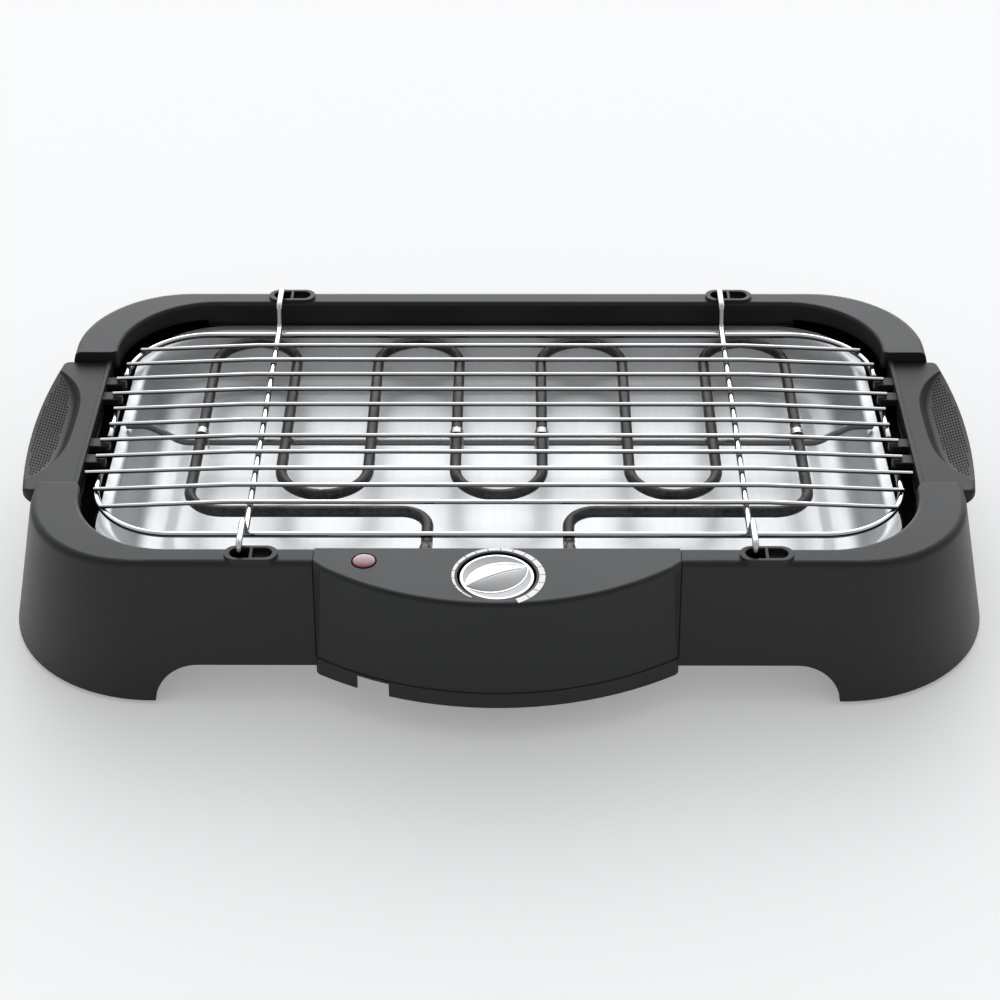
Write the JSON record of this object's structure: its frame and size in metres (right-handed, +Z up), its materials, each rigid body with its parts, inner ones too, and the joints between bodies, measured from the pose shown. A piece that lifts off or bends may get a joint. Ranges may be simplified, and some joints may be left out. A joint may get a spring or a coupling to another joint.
{
  "type": "electric table grill",
  "caption": "Electric table grill: black moulded frame on four legs, lift-out drip pan, serpentine heating element on a front control box with a thermostat knob, and a hooked wire rack.",
  "frame": {"origin": "on the table, under the middle of the grill's overall box", "axes": "+X along the grill to the right seen from the control box, +Y to the rear, +Z up"},
  "size_m": [0.544, 0.3338, 0.0947],
  "materials": {
    "frame_plastic": "fine moulded satin",
    "handle_plastic": "fine moulded satin with a dotted grip",
    "control_plastic": "smooth satin",
    "foot_rubber": "matt",
    "pan_steel": "polished stainless",
    "plate_steel": "satin",
    "element_metal": "oxidised dark grey",
    "rack_chrome": "bright plating",
    "knob_metal": "satin silver with a bright edge",
    "lens_red": "clear red",
    "bulb_glass": "clear",
    "inner_plastic": "matt",
    "bushing_ceramic": "unglazed ceramic",
    "nut_brass": "turned",
    "gland_rubber": "matt",
    "lead_rubber": "matt"
  },
  "bodies": {
    "body": {"front_frame": "frame_plastic", "rear_frame": "frame_plastic", "left_handle": "handle_plastic", "right_handle": "handle_plastic", "handle_screws": "plate_steel", "foot_front_left": "foot_rubber", "foot_front_right": "foot_rubber", "foot_rear_left": "foot_rubber", "foot_rear_right": "foot_rubber"},
    "pan": {"drip_pan": "pan_steel"},
    "heater": {"control_cover": "control_plastic", "control_base": "control_plastic", "cover_screws": "plate_steel", "rear_plate": "plate_steel", "thermostat": "inner_plastic", "thermostat_bracket": "plate_steel", "thermostat_nut": "nut_brass", "indicator_lens": "lens_red", "indicator_bulb": "bulb_glass", "cord_gland": "gland_rubber", "terminal_block": "inner_plastic", "leads": "lead_rubber", "heating_element": "element_metal", "element_bushings": "bushing_ceramic", "element_terminals": "plate_steel", "support_rod": "plate_steel", "element_clips": "plate_steel"},
    "knob": {"knob": "knob_metal", "thermostat_shaft": "plate_steel"},
    "rack": {"rack_bars": "rack_chrome", "rack_rear_rim": "rack_chrome", "rack_front_rim": "rack_chrome", "rack_side_bar_left": "rack_chrome", "rack_side_bar_right": "rack_chrome", "rack_cross_left": "rack_chrome", "rack_cross_right": "rack_chrome"}
  },
  "joints": [
    {"name": "pan_lift", "type": "slide", "parent": "body", "child": "pan", "axis": [0, 0, 1], "range_m": [0, 0.12]},
    {"name": "heater_lift", "type": "slide", "parent": "pan", "child": "heater", "axis": [0, 0, 1], "range_m": [0, 0.12]},
    {"name": "rack_lift", "type": "slide", "parent": "heater", "child": "rack", "axis": [0, 0, 1], "range_m": [0, 0.12]},
    {"name": "knob_turn", "type": "hinge", "parent": "heater", "child": "knob", "pos_m": [0, -0.1387, 0.086], "axis": [0, 0, -1], "range_deg": [-27.5, 271.5]}
  ]
}
